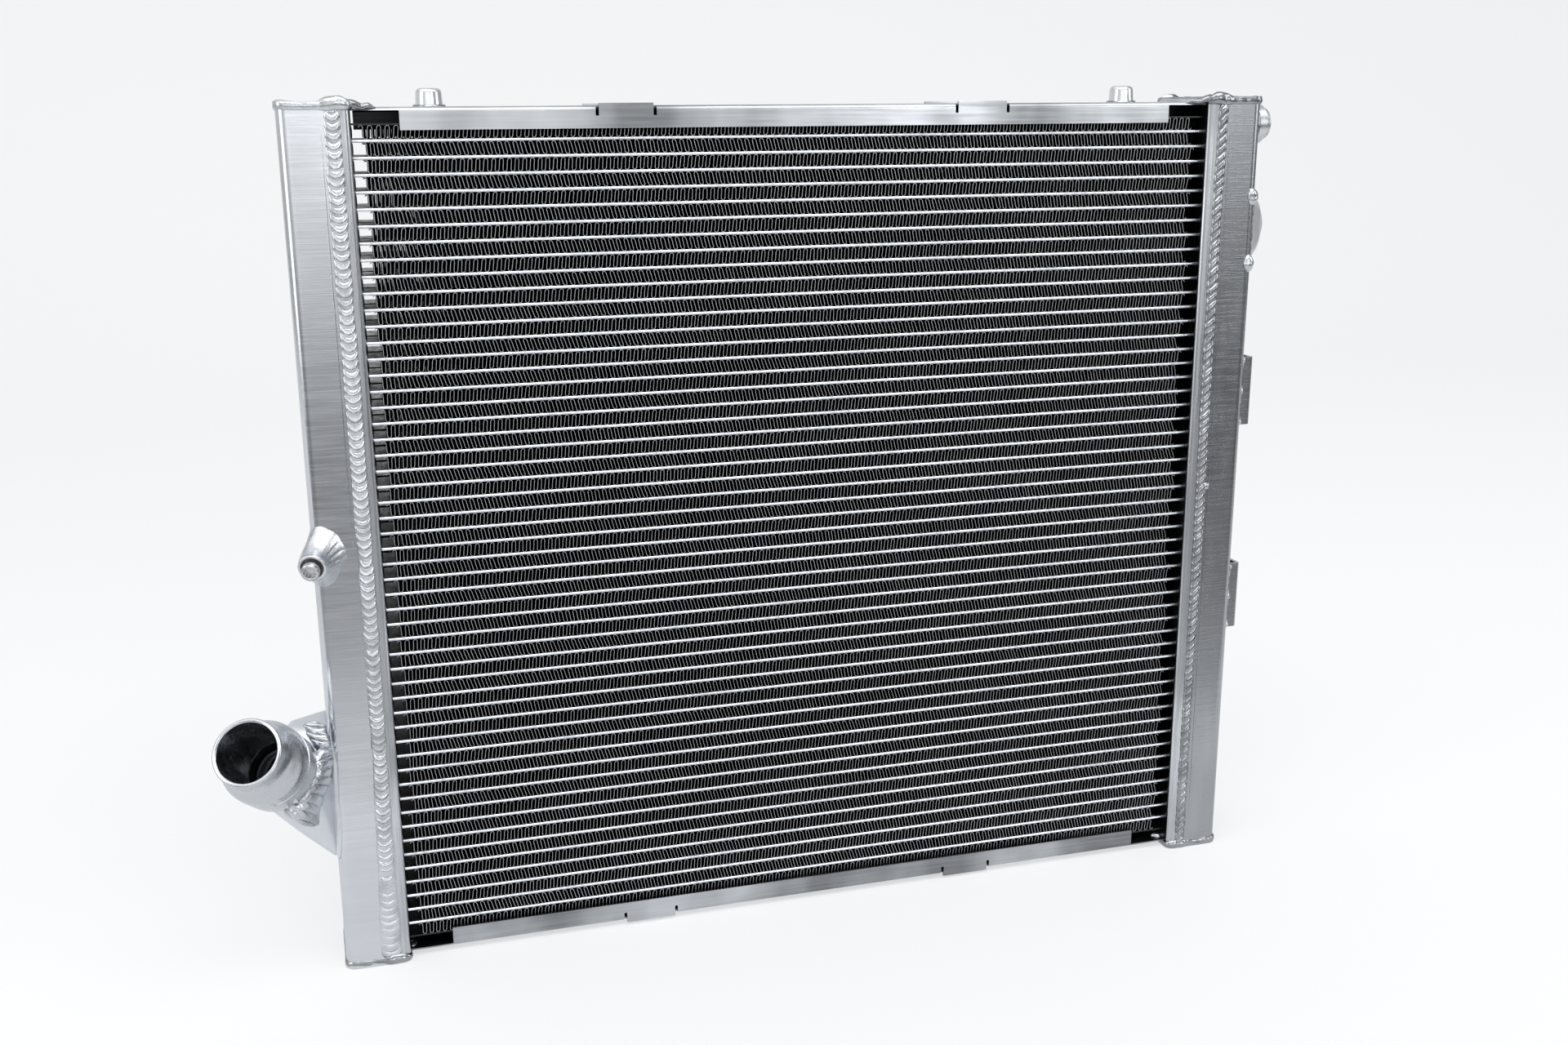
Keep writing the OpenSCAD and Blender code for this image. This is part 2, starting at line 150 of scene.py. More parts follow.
def unit(v):
    """A vector, or each row of an array of them, made one long."""
    v = np.asarray(v, dtype=float)
    return v / np.linalg.norm(v, axis=-1, keepdims=True)


def full_turn(steps):
    """Angles of one whole turn in equal steps."""
    return np.linspace(0, 2 * math.pi, steps, endpoint=False)


def frame_of(axis):
    """Three unit vectors: one level, one as near to +Z as it can be, and the axis itself."""
    axis = unit(axis)
    side = unit(np.cross(axis, (0, 0, 1)) if abs(axis[2]) < 0.999 else (1, 0, 0))
    return side, np.cross(side, axis), axis


def around(origin, axis, radius, height, turn):
    """Points at the given radius, height along the axis and turn about it (arrays that broadcast)."""
    side, up, axis = frame_of(axis)
    radius, height, turn = np.broadcast_arrays(radius, height, turn)
    flat = np.cos(turn)[..., None] * side + np.sin(turn)[..., None] * up
    return np.asarray(origin) + radius[..., None] * flat + height[..., None] * axis


def lathe(profile, origin, axis, steps=96, bulge=None, solid=False):
    """Turns a (radius, height) profile about an axis; bulge(turn, height) adds to the radius.

    The profile is a closed loop round a bore, or with solid an open line between two flat ends.
    """
    profile = np.asarray(profile, dtype=float)
    turn = full_turn(steps)[:, None]
    radius, height = profile[None, :, 0], profile[None, :, 1]
    if bulge is not None:
        radius = radius + bulge(turn, height)
    rings = around(origin, axis, radius, height, turn)
    return sweep(rings.transpose(1, 0, 2), ring_loop=not solid)


def bow(centre, radius, start, end, steps):
    """Points of an arc in a (radius, height) profile, angles in degrees."""
    angles = np.radians(np.linspace(start, end, steps))
    return [(centre[0] + radius * math.cos(a), centre[1] + radius * math.sin(a)) for a in angles]


def wander(count, step, size, seed, loop=False):
    """Smooth random curve over count samples: about the given size, drifting over step samples."""
    rng = np.random.default_rng(seed)
    knots = rng.normal(0, size, max(4, int(round(count / step))) + (0 if loop else 2))
    at = np.arange(count) * (len(knots) - (0 if loop else 2)) / count
    i = at.astype(int)
    t = at - i
    t = t * t * (3 - 2 * t)
    return knots[i] * (1 - t) + knots[(i + 1) % len(knots)] * t


def puddles(phase):
    """Weld ripple: 0 in the crease between two puddles, 1 on a puddle's crown."""
    t = phase - np.floor(phase)
    return np.sin(math.pi * t ** 0.75) ** 0.5


def along(path, loop=False):
    """Running length at each point of a path, and the whole length."""
    path = np.asarray(path)
    step = np.linalg.norm(np.roll(path, -1, 0) - path, axis=1)
    length = np.concatenate([[0], np.cumsum(step)])
    return (length[:-1], length[-1]) if loop else (length[:-1], length[-2])


def bead(path, across, away, half, height, pitch, seed, curl=0.0, slant=0.0, ripple=0.5, wobble=0.05,
         loop=False, root=0.6 * MM, samples=17):
    """Weld bead on a path: rows of overlapping puddles, half wide each side and height proud.

    across and away are unit vectors for every point, along the surface and out of it. curl bends each
    crease back at the edges and slant tilts it, both in metres.
    """
    path = np.asarray(path)
    n = len(path)
    across, away = np.broadcast_to(across, (n, 3)), np.broadcast_to(away, (n, 3))
    run, total = along(path, loop)
    u = np.linspace(-1, 1, samples)
    swell = 1 + wander(n, max(4, n * pitch / total * 1.5), wobble, seed, loop)
    uneven = 1 + wander(n, max(3, n * pitch / total), 0.25, seed + 1, loop)
    rounds = total / pitch
    if loop:
        rounds = max(1, round(rounds))
    beat = run / total * rounds + wander(n, max(4, n * 4 * pitch / total), 0.16, seed + 2, loop)
    size = swell
    if not loop:
        size = size * np.clip(np.minimum(run, total - run) / (0.7 * pitch), 0.02, 1) ** 0.5
    phase = beat[:, None] - (curl * u ** 2 + slant * u)[None, :] / pitch
    dip = ripple * (1 - puddles(phase)) * np.clip(uneven, 0.5, 1.5)[:, None]
    crown = np.sqrt(np.clip(1 - u ** 2, 0, 1))[None, :]
    half = np.broadcast_to(half, n)[:, None] * size[:, None]
    rise = np.broadcast_to(height, n)[:, None] * size[:, None] * crown * (1 - dip)
    reach = half * u * (1 - 0.06 * dip)
    top = path[:, None] + across[:, None] * reach[..., None] + away[:, None] * rise[..., None]
    roots = top[:, [-1, 0]] - away[:, None] * root
    return sweep(np.concatenate([top, roots], 1), ring_loop=loop)


def dot(place, normal, radius, height, seed):
    """Small round weld spot, not quite even."""
    wave = np.random.default_rng(seed).uniform(0, 2 * math.pi, 3)

    def bulge(turn, level):
        lobes = sum(np.cos((k + 2) * turn + w) for k, w in enumerate(wave))
        return 0.05 * radius * lobes * (level > -0.2 * MM)

    rise = [(radius * math.cos(a), height * math.sin(a)) for a in np.radians(np.linspace(0, 88, 9))]
    foot = [(0.9 * radius, -0.8 * MM)]
    return lathe(foot + rise, place, normal, steps=28, bulge=bulge, solid=True)


def neck_place(mount):
    """Middle of a neck's mouth and the unit vector of its axis, from the bore mount in the record."""
    axis = unit(MOUNTS[mount]["axis"])
    reach = MOUNTS[mount]["dims"]["length_mm"] / 2 + LIP_PAST_BORE
    return np.array(MOUNTS[mount]["pos_m"]) + axis * reach * MM, axis


# ---------------------------------------------------------------- material helpers

class Surface:
    """One procedural material: a principled shader with noise patterns at the object's own scale."""

    def __init__(self, name, colour, metallic, roughness):
        self.material = bpy.data.materials.new(name)
        self.material.use_nodes = True
        self.tree = self.material.node_tree
        self.shader = self.tree.nodes["Principled BSDF"]
        self.shader.inputs["Base Color"].default_value = (*colour, 1)
        self.shader.inputs["Metallic"].default_value = metallic
        self.shader.inputs["Roughness"].default_value = roughness
        self.place = self.node("ShaderNodeTexCoord").outputs["Object"]

    def node(self, kind, **settings):
        made = self.tree.nodes.new(kind)
        for key, value in settings.items():
            setattr(made, key, value)
        return made

    def join(self, out, socket):
        self.tree.links.new(out, socket)

    def noise(self, scale, stretch=(1, 1, 1), detail=4.0, turn=0.0):
        """Noise with scale waves a metre, times stretch along each axis, turned about Y in degrees."""
        place = self.node("ShaderNodeMapping")
        place.inputs["Rotation"].default_value = (0, math.radians(turn), 0)
        place.inputs["Scale"].default_value = stretch
        self.join(self.place, place.inputs["Vector"])
        made = self.node("ShaderNodeTexNoise")
        made.inputs["Scale"].default_value = scale
        made.inputs["Detail"].default_value = detail
        self.join(place.outputs["Vector"], made.inputs["Vector"])
        return made.outputs["Fac"]

    def ramp(self, value, low, high, a=0.0, b=1.0):
        """Maps low..high of a value to a..b, and holds it there outside."""
        made = self.node("ShaderNodeMapRange")
        for socket, number in zip(("From Min", "From Max", "To Min", "To Max"), (low, high, a, b)):
            made.inputs[socket].default_value = number
        self.join(value, made.inputs["Value"])
        return made.outputs["Result"]

    def op(self, operation, a, b=None, vector=False):
        """Math node on a socket and, where it takes two values, a second socket or a constant."""
        made = self.node("ShaderNodeVectorMath" if vector else "ShaderNodeMath", operation=operation)
        self.join(a, made.inputs[0])
        if isinstance(b, bpy.types.NodeSocket):
            self.join(b, made.inputs[1])
        elif b is not None:
            made.inputs[1].default_value = b
        return made.outputs

    def add(self, *values):
        """Sum of two or more values."""
        total = values[0]
        for value in values[1:]:
            total = self.op("ADD", total, value)[0]
        return total

    def shade(self, fac, a, b):
        """Base colour a where fac is 0, b where it is 1."""
        made = self.node("ShaderNodeMix", data_type="RGBA")
        made.inputs["A"].default_value = (*a, 1)
        made.inputs["B"].default_value = (*b, 1)
        self.join(fac, made.inputs["Factor"])
        self.join(made.outputs["Result"], self.shader.inputs["Base Color"])

    def overlay_painted_shade(self, fac, colour):
        """Lays a second colour over the base colour where fac is 1, here a painted shadow."""
        made = self.node("ShaderNodeMix", data_type="RGBA")
        self.join(self.shader.inputs["Base Color"].links[0].from_socket, made.inputs["A"])
        made.inputs["B"].default_value = (*colour, 1)
        self.join(fac, made.inputs["Factor"])
        self.join(made.outputs["Result"], self.shader.inputs["Base Color"])

    def roughness(self, out):
        self.join(out, self.shader.inputs["Roughness"])

    def bump(self, height, distance):
        """Fine relief: a height of 1 stands this distance proud."""
        made = self.node("ShaderNodeBump")
        made.inputs["Distance"].default_value = distance
        self.join(height, made.inputs["Height"])
        self.join(made.outputs["Normal"], self.shader.inputs["Normal"])


def grey(value, blue=0.1):
    """Metal colour of one grey level, with a slight cool cast."""
    return value, min(1.0, value * (1 + 0.4 * blue)), min(1.0, value * (1 + blue))


def sheet_metal(name, light, dark, rough, grain, turn=0.0, depth=0.008):
    """Rolled and sanded aluminium sheet: fine grain stretched as given, cloudy patches, a few scratches."""
    s = Surface(name, grey(light), 1.0, rough[0])
    fine = s.noise(60, grain, detail=3, turn=turn)
    cloud = s.noise(13, (1, 1, 0.6), detail=3)
    stray = s.noise(70, (0.5, 0.5, 16), detail=4, turn=turn + 58)
    s.shade(s.add(s.ramp(cloud, 0.35, 0.65, 0, 0.75), s.ramp(fine, 0.3, 0.7, 0, 0.2)),
            grey(light), grey(dark))
    s.roughness(s.ramp(s.add(fine, cloud, stray), 1.1, 1.9, rough[0], rough[1]))
    s.bump(s.add(s.ramp(fine, 0.3, 0.7, 0, 1), s.ramp(stray, 0.52, 0.62, 0, 1.5)), depth * MM)
    return s.material


def inward(s, axis, edge, fade, a=1.0, b=0.0, middle=0.0):
    """a where a point lies within edge of the middle along an axis, b from fade further out."""
    split = s.node("ShaderNodeSeparateXYZ")
    s.join(s.place, split.inputs[0])
    shift = s.op("SUBTRACT", split.outputs[axis], middle)[0]
    return s.ramp(s.op("ABSOLUTE", shift)[0], edge, edge + fade, a, b)


def header_metal():
    """Header sheet: sanded outside, with painted shade on the side that faces the core."""
    s = Surface("header_sheet", grey(0.6), 1.0, 0.3)
    fine = s.noise(60, (12, 12, 0.4), detail=5)
    cloud = s.noise(13, detail=3)
    # painted shade: near black on the core-facing side, standing in for the shade the fins cast there
    inner = inward(s, "X", CORE_X + 0.1 * MM, 0.4 * MM, 1.6)
    s.shade(s.add(inner, s.ramp(cloud, 0.35, 0.65, 0, 0.35), s.ramp(fine, 0.3, 0.7, 0, 0.25)),
            grey(0.74), grey(0.05))
    s.roughness(s.ramp(s.add(fine, cloud), 0.8, 1.2, 0.22, 0.38))
    s.bump(fine, 0.03 * MM)
    return s.material


def channel_metal():
    """Channel sheet: satin outside, with painted shade inside its fold."""
    s = Surface("channel_sheet", grey(0.6), 1.0, 0.37)
    fine = s.noise(60, (0.3, 1, 8), detail=5, turn=35)
    cloud = s.noise(13, (1, 1, 0.6), detail=3)
    # painted shade: near black on the faces inside the channel's fold
    fold = s.add(inward(s, "Y", CHANNEL_Y - 1.2 * MM, 0.4 * MM),
                 inward(s, "Z", WEB_TOP / 2 - 1.2 * MM, 0.4 * MM, middle=WEB_TOP / 2))
    s.shade(s.add(s.ramp(fold, 1.4, 1.9, 0, 1.6), s.ramp(cloud, 0.35, 0.65, 0, 0.6),
                  s.ramp(fine, 0.3, 0.7, 0, 0.15)), grey(0.64), grey(0.05))
    s.roughness(s.ramp(s.add(fine, cloud), 0.8, 1.2, 0.3, 0.44))
    s.bump(fine, 0.01 * MM)
    return s.material


def weld_metal(name, light, dark, rough):
    """Bare weld metal: clean and bright, with freeze lines, fine pits and dull patches of oxide."""
    s = Surface(name, grey(light), 1.0, rough)
    fine = s.noise(700, (1, 1, 1.6), detail=3)
    patch = s.noise(90, detail=4)
    s.shade(s.ramp(patch, 0.4, 0.66), grey(light), grey(dark))
    s.roughness(s.ramp(s.add(fine, patch), 0.8, 1.25, rough, rough + 0.16))
    s.bump(s.ramp(fine, 0.3, 0.7), 0.025 * MM)
    return s.material


def bore_shade(s, mount, light, dark):
    """One grey outside a neck's bore and another in it, painted shade where the inner one is darker; returns
    distance from the axis and run along it.
    """
    mouth, axis = neck_place(mount)
    away = s.op("SUBTRACT", s.place, mouth, vector=True)[0]
    cross = s.op("CROSS_PRODUCT", away, axis, vector=True)[0]
    radius = s.op("LENGTH", cross, vector=True)["Value"]
    run = s.op("DOT_PRODUCT", away, axis, vector=True)["Value"]
    inside = s.add(s.ramp(radius, (BORE_R + 0.05) * MM, (BORE_R + 0.5) * MM, 1, 0),
                   s.ramp(run, -(BORE_LONG + 1) * MM, -BORE_LONG * MM))
    s.shade(s.ramp(inside, 1.2, 2), grey(light), grey(dark))
    return radius, run


def cast_metal(side):
    """Cast and hand-blended aluminium of a neck boss: soft lumps, fine sanding, painted shade inside the bore."""
    s = Surface(side + "_boss_blended", grey(0.5), 1.0, 0.34)
    lumps = s.noise(70, detail=2)
    fine = s.noise(700, detail=4)
    # painted shade: near black inside the bore
    bore_shade(s, side + "_bore", 0.72, 0.04)
    s.roughness(s.ramp(s.add(fine, lumps), 0.8, 1.3, 0.28, 0.5))
    s.bump(s.add(s.ramp(lumps, 0.3, 0.7, 0, 8), s.ramp(fine, 0.3, 0.7)), 0.03 * MM)
    return s.material


def neck_metal(side):
    """Turned neck: fine tool marks and a painted shadow line in its groove."""
    s = Surface(side + "_neck_turned", grey(0.56), 1.0, 0.2)
    tool = s.noise(900, (1, 1, 0.4), detail=3)
    wear = s.noise(45, detail=4)
    radius, run = bore_shade(s, side + "_bore", 0.58, 0.6)
    # painted shadow: near black in the groove under the collar
    groove = s.add(s.ramp(run, (GROOVE_LOW - 0.2) * MM, (GROOVE_LOW + 0.1) * MM),
                   s.ramp(run, (GROOVE_HIGH - 0.1) * MM, (GROOVE_HIGH + 0.2) * MM, 1, 0),
                   s.ramp(radius, 23.5 * MM, 24 * MM))
    s.overlay_painted_shade(s.ramp(groove, 2.5, 3), grey(0.03))
    s.roughness(s.ramp(s.add(tool, wear), 0.75, 1.3, 0.16, 0.34))
    s.bump(tool, 0.02 * MM)
    return s.material


def fin_metal():
    """Thin fin strip: bare and light along its cut edges, with painted shade deeper in."""
    s = Surface("fin_strip_metal", grey(0.3), 0.9, 0.45)
    spots = s.noise(260, (1, 0.3, 1), detail=4)
    bands = s.noise(20, (1, 1, 2), detail=3)
    # painted shade: the strip darkens to near black away from the core's front and back faces
    deep = inward(s, "Y", FIN_Y - 1.0 * MM, 0.7 * MM, 0.95, 0.1)
    s.shade(s.add(deep, s.ramp(spots, 0.35, 0.7, -0.06, 0.12), s.ramp(bands, 0.35, 0.65, -0.04, 0.12)),
            grey(0.56), grey(0.015))
    s.roughness(s.ramp(spots, 0.3, 0.7, 0.36, 0.58))
    s.bump(spots, 0.03 * MM)
    return s.material


def tube_metal():
    """Flat tube: bright drawn noses, dull flux where the fins are brazed on, and painted shade deeper in."""
    s = Surface("flat_tube_metal", grey(0.8), 1.0, 0.3)
    marks = s.noise(330, (1, 0.3, 1), detail=3)
    drawn = s.noise(24, (1, 1, 3), detail=3)
    # painted shade: near black deeper into the core than the tube noses
    deep = inward(s, "Y", FIN_Y - 2.2 * MM, 1.0 * MM, 0.93)
    s.shade(s.add(deep, s.ramp(s.add(marks, drawn), 0.95, 1.3, 0, 0.3)), grey(0.86), grey(0.03))
    s.roughness(s.ramp(s.add(marks, drawn), 0.7, 1.3, 0.22, 0.45))
    s.bump(marks, 0.08 * MM)
    return s.material


def turned_metal(name, light, dark, rough):
    """Machined part: fine tool marks and a little handling wear."""
    s = Surface(name, grey(light), 1.0, rough)
    tool = s.noise(900, (1, 1, 0.4), detail=3)
    wear = s.noise(45, detail=4)
    s.shade(s.ramp(wear, 0.4, 0.7), grey(light), grey(dark))
    s.roughness(s.ramp(s.add(tool, wear), 0.75, 1.3, rough, rough + 0.18))
    s.bump(tool, 0.025 * MM)
    return s.material


def plug_metal():
    """Zinc-plated steel, with the plating thin and brownish in places."""
    s = Surface("plug_plating", (0.42, 0.43, 0.45), 1.0, 0.25)
    thin = s.noise(180, detail=4)
    fine = s.noise(1200, detail=2)
    s.shade(s.ramp(thin, 0.5, 0.72), (0.55, 0.56, 0.58), (0.30, 0.285, 0.26))
    s.roughness(s.ramp(fine, 0.3, 0.7, 0.18, 0.4))
    s.bump(fine, 0.02 * MM)
    return s.material


def seal_rubber():
    """Matt black seal with moulding grain and dust."""
    s = Surface("seal_rubber_black", (0.02, 0.02, 0.022), 0.0, 0.7)
    dust = s.noise(260, detail=4)
    s.shade(s.ramp(dust, 0.5, 0.75), (0.018, 0.018, 0.02), (0.07, 0.07, 0.068))
    s.roughness(s.ramp(dust, 0.3, 0.7, 0.55, 0.85))
    s.bump(dust, 0.05 * MM)
    return s.material


LEFT_SHEET = sheet_metal("tank_sheet_left", light=0.72, dark=0.60, rough=(0.16, 0.27),
                         grain=(0.3, 0.3, 5), depth=0.003)
RIGHT_SHEET = sheet_metal("tank_sheet_right", light=0.45, dark=0.33, rough=(0.2, 0.3),
                          grain=(2, 2, 0.3), turn=20)
HEADER_SHEET = header_metal()
CHANNEL_SHEET = channel_metal()
WELD = weld_metal("weld_bright", light=0.66, dark=0.46, rough=0.2)
WELD_DULL = weld_metal("weld_satin", light=0.38, dark=0.24, rough=0.13)
CAST = {side: cast_metal(side) for side in ("outlet", "inlet")}
NECK = {side: neck_metal(side) for side in ("outlet", "inlet")}
FIN = fin_metal()
TUBE = tube_metal()
FITTING = turned_metal("fitting_turned", light=0.66, dark=0.54, rough=0.24)
POLISH = turned_metal("pin_polished", light=0.80, dark=0.70, rough=0.1)
PLUG = plug_metal()
RUBBER = seal_rubber()


# ---------------------------------------------------------------- the core

def fin_row(low, high, lean, ragged, seed):
    """Points and faces of one folded strip: round crests, leaning legs, and legs that wave in depth."""
    rng = np.random.default_rng(seed)
    wave = 4.7 * MM  # from one fold to the next but one
    half = 0.14 * MM  # half the strip's thickness
    start = -CORE_X + (5.5 + rng.uniform(-0.7, 0.9)) * MM
    stop = CORE_X - (6.5 + rng.uniform(-1.5, 1)) * MM
    folds = int((stop - start) / (wave / 2))
    crest = wave / 4
    tall = high - low
    turn = np.radians(np.linspace(180, 0, 4))
    middle = start + (np.arange(folds)[:, None] + 0.5) * wave / 2
    sign = np.where(np.arange(folds) % 2 == 0, 1, -1)[:, None]
    x = (middle + crest * np.cos(turn)).ravel()
    z = (tall / 2 + sign * (tall / 2 - crest + crest * np.sin(turn))).ravel()
    n = len(x)
    x = x + wander(n, 48, 0.22 * MM, seed + 1) + wander(n, 7, 0.10 * MM, seed + 2)
    x = x + ragged * wander(n, 20, 1.0 * MM, seed + 4) * np.exp(-np.arange(n) / 50)
    upright = np.clip(np.arange(n) / 40, 0, 1)
    x = x + lean * upright * (1 + wander(n, 70, 0.2, seed + 3)) * (z / tall - 0.5)
    dx, dz = np.gradient(x), np.gradient(z)
    size = np.hypot(dx, dz)
    nx, nz = -dz / size * half, dx / size * half
    z = low + np.clip(z, half, tall - half)
    depth = np.linspace(-FIN_Y + 0.2 * MM, FIN_Y - 0.2 * MM, 5)
    shift = np.array([0, 1.9, 0.4, 2.9, 2.1]) * MM
    line = list(zip(depth, shift))
    ring = [(1, y, push) for y, push in line] + [(-1, y, push) for y, push in line[::-1]]
    rings = np.stack([points_at(x + s * nx + push, y, z + s * nz) for s, y, push in ring], 1)
    m = len(ring)
    quads = [[k, k + 1, m - 2 - k, m - 1 - k] for k in range(len(depth) - 1)]
    ends = quads + [[(n - 1) * m + v for v in q[::-1]] for q in quads]
    return rings.reshape(-1, 3), np.concatenate([grid_faces(n, m), np.array(ends)])


def make_fins():
    """All fin rows in pieces of six, with neighbouring rows leaning opposite ways away from the left end."""
    per_piece = 6
    for first in range(0, LEVELS + 1, per_piece):
        verts, faces, count = [], [], 0
        for row in range(first, min(first + per_piece, LEVELS + 1)):
            low = PLATE_HIGH.z + row * PITCH
            lean = (-2.0 if row % 2 else 0.9) * MM
            ragged = 2.5 if row == LEVELS else 0.5
            v, f = fin_row(low, low + PITCH - TUBE_H, lean, ragged, 100 + 7 * row)
            verts.append(v)
            faces.append(f + count)
            count += len(v)
        piece = face_out(mesh_object(np.concatenate(verts), np.concatenate(faces)))
        add(piece, "fin_rows_%02d" % (first // per_piece + 1), FIN, smooth=60.0)
        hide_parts("core_fins")


def make_header_ridges():
    """Drawn ridges on the core face of each header, one between each two tube levels."""
    steps = 12
    count = (LEVELS + 1) * steps + 1
    z = PLATE_HIGH.z + np.arange(count) * PITCH / steps
    t = (np.arange(count) % steps) / steps * PITCH / (PITCH - TUBE_H)
    ridge = np.sqrt(np.clip(1 - (2 * t - 1) ** 4, 0, 1)) * (t <= 1)
    y = np.linspace(-1, 1, 15)
    ends = np.sqrt(np.clip(1 - y ** 10, 0, 1))
    out = 0.7 * MM * ridge[:, None] * ends[None, :] + 0.05 * MM
    keep = z <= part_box("top_end_plate")[0].z
    for side, name in SIDES:
        x = side * (CORE_X - out)
        face = points_at(x, y * (FIN_Y - 2 * MM), z[:, None])
        roots = face[:, [-1, 0]].copy()
        roots[..., 0] = side * (CORE_X + 0.5 * MM)
        rings = np.concatenate([face, roots], 1)[keep]
        add(sweep(rings), name + "_header_ridges", HEADER_SHEET, smooth=50.0)


# ---------------------------------------------------------------- welds along the tanks

def seam_line(side, front, middle, spread, seed):
    """Points up the joint of header and tank, wandering a little."""
    low, high = TANK_LOW.z + 0.5 * MM, TANK_HIGH.z - 1 * MM
    n = int((high - low) / (0.32 * MM))
    z = np.linspace(low, high, n)
    low_down = np.clip(1 - (z - low) / (0.25 * (high - low)), 0, 1)
    x = middle + wander(n, 260, 0.35 * MM, seed) + spread * low_down
    return points_at(side * x, front * (FACE_Y - 0.05 * MM), z), low_down


def seam_bead(name, side, front, middle, half, pitch, curl, slant, spread, material, seed):
    """Long weld bead over the joint of header and tank, with spread also wider and flatter low down."""
    path, low_down = seam_line(side, front, middle, spread, seed)
    rise = 1.7 - 0.5 * low_down if spread else 2.4
    piece = bead(path, (side, 0, 0), (0, front, 0), half * (1 + 0.3 * low_down * (spread > 0)),
                 rise * MM, pitch, seed + 5, curl=curl, slant=slant, ripple=0.72, wobble=0.05, samples=21)
    add_weld(piece, name, material)
    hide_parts(("left" if side < 0 else "right") + "_seam_welds")


def sheet_edge(name, side, front, x, low, high, material, seed):
    """Raised edge of the tank sheet beside the seam, where the two sheets overlap."""
    n = int((high - low) / (4 * MM))
    z = np.linspace(low, high, n)
    path = points_at(side * (x + wander(n, 12, 0.12 * MM, seed)), front * FACE_Y, z)
    piece = bead(path, (side, 0, 0), (0, front, 0), 0.45 * MM, 0.4 * MM, 60 * MM, seed, ripple=0.0,
                 wobble=0.1, samples=7)
    add(piece, name, material, smooth=180.0)


def make_seams():
    """The four long seams, the sheet edges that show beside the front ones, and a stray spot."""
    seam_bead("left_seam_front", -1, -1, SEAM_X - 1.5 * MM, half=4.9 * MM, pitch=5.4 * MM,
              curl=3.6 * MM, slant=0, spread=2.5 * MM, material=WELD, seed=11)
    seam_bead("left_seam_back", -1, 1, SEAM_X - 0.5 * MM, half=4.4 * MM, pitch=5.0 * MM,
              curl=2.6 * MM, slant=0.8 * MM, spread=0, material=WELD_DULL, seed=31)
    seam_bead("right_seam_front", 1, -1, SEAM_X - 1.5 * MM, half=3.9 * MM, pitch=6.0 * MM,
              curl=-1.0 * MM, slant=2.8 * MM, spread=0, material=WELD_DULL, seed=51)
    seam_bead("right_seam_back", 1, 1, SEAM_X - 0.5 * MM, half=4.4 * MM, pitch=5.2 * MM,
              curl=2.6 * MM, slant=-0.6 * MM, spread=0, material=WELD_DULL, seed=71)
    middle = JOINTS["drain_turn"]["pos_m"][2]
    sheet_edge("left_sheet_edge", -1, -1, SEAM_X + 5.4 * MM, middle + 8 * MM,
               TANK_HIGH.z - 12 * MM, LEFT_SHEET, 12)
    sheet_edge("right_sheet_edge", 1, -1, SEAM_X + 5.0 * MM, TANK_LOW.z + 20 * MM,
               TANK_HIGH.z - 12 * MM, RIGHT_SHEET, 52)
    blob = dot((SEAM_X + 2.5 * MM, -FACE_Y, 0.51 * TANK_HIGH.z), (0.3, -1, 0), 3 * MM, 2 * MM, 53)
    add_weld(blob, "right_seam_spot")


def outline(side, inset):
    """Closed line round a tank and its header, seen from above, with its outward unit vectors."""
    x0, x1, half = CORE_X + inset, TANK_X - inset, FACE_Y - inset
    r0, r1 = 3 * MM, 6 * MM
    corners = [(x0 + r0, half - r0, r0, 90), (x0 + r0, -half + r0, r0, 180),
               (x1 - r1, -half + r1, r1, 270), (x1 - r1, half - r1, r1, 0)]
    points = []
    for cx, cy, r, start in corners:
        for a in np.radians(np.linspace(start, start + 90, 8)):
            points.append((cx + r * math.cos(a), cy + r * math.sin(a), math.cos(a), math.sin(a)))
    points = np.array(points)
    run, total = along(points[:, :2], loop=True)
    at = np.arange(0, total, 0.5 * MM)
    run = np.append(run, total)
    full = np.concatenate([points, points[:1]])
    line = np.stack([np.interp(at, run, full[:, k]) for k in range(4)], -1)
    line[:, 0] *= side
    line[:, 2] *= side
    return line[:, :2], unit(line[:, 2:])


def cap_bead(name, side, top, material, seed):
    """Weld round a tank end, over the edge between cap and sheet, humped where it crosses the seams."""
    flat, out = outline(side, 0.4 * MM)
    n = len(flat)
    up = 1 if top else -1
    level = CAP_LOW.z + 0.1 * MM if top else TANK_LOW.z - 0.1 * MM
    path = np.concatenate([flat, np.full((n, 1), level)], 1)
    path[:, 2] += wander(n, 14, 0.35 * MM, seed, loop=True) - (0.2 * MM if top else -0.4 * MM)
    away = np.concatenate([out, np.zeros((n, 1))], 1)
    hump = np.exp(-((np.abs(flat[:, 0]) - CORE_X - 9 * MM) / (7 * MM)) ** 4)
    path[:, 2] += (0.9 if top else 0.5) * hump * MM
    bulge = 1.2 if top else 1.9
    piece = bead(path, (0, 0, up), away, (2.4 + 1.5 * hump) * MM, (1.6 + bulge * hump) * MM,
                 (9 if top else 14) * MM, seed + 1, curl=2 * MM, ripple=0.25, wobble=0.13, loop=True,
                 samples=15)
    add_weld(piece, name, material)


def make_cap_beads():
    cap_bead("left_top_bead", -1, True, WELD, 201)
    cap_bead("left_bottom_bead", -1, False, WELD_DULL, 221)
    cap_bead("right_top_bead", 1, True, WELD_DULL, 241)
    cap_bead("right_bottom_bead", 1, False, WELD_DULL, 261)


# ---------------------------------------------------------------- channels and pins

